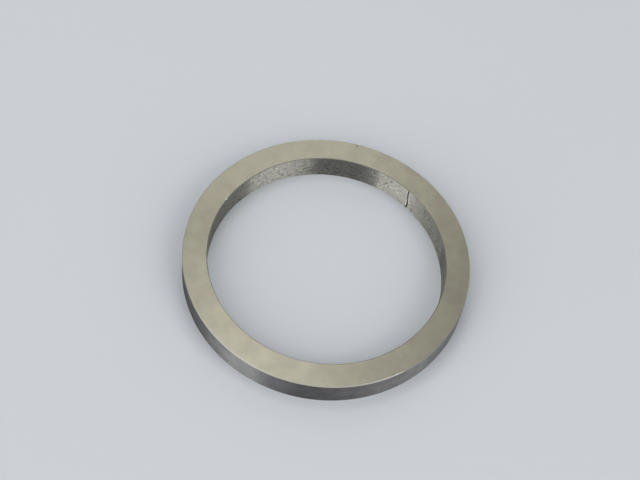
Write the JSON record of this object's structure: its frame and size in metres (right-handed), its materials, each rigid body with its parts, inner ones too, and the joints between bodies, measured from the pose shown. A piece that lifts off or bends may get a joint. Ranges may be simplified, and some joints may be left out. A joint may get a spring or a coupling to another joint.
{
  "type": "bearing spacer",
  "caption": "Flat turned steel ring of rectangular section, with ground faces and small edge breaks, that holds neighbouring bearings a set distance apart.",
  "frame": {"origin": "centre of the ring on its lower face", "axes": "+Z along the axis of the ring, up from the face that it lies on"},
  "size_m": [0.062, 0.062, 0.0064],
  "materials": {
    "ground_steel": "dull ground faces of a warm grey, darker turned outer wall, rougher torn finish in the bore"
  },
  "bodies": {
    "root": {"spacer_ring": "ground_steel"}
  },
  "joints": []
}
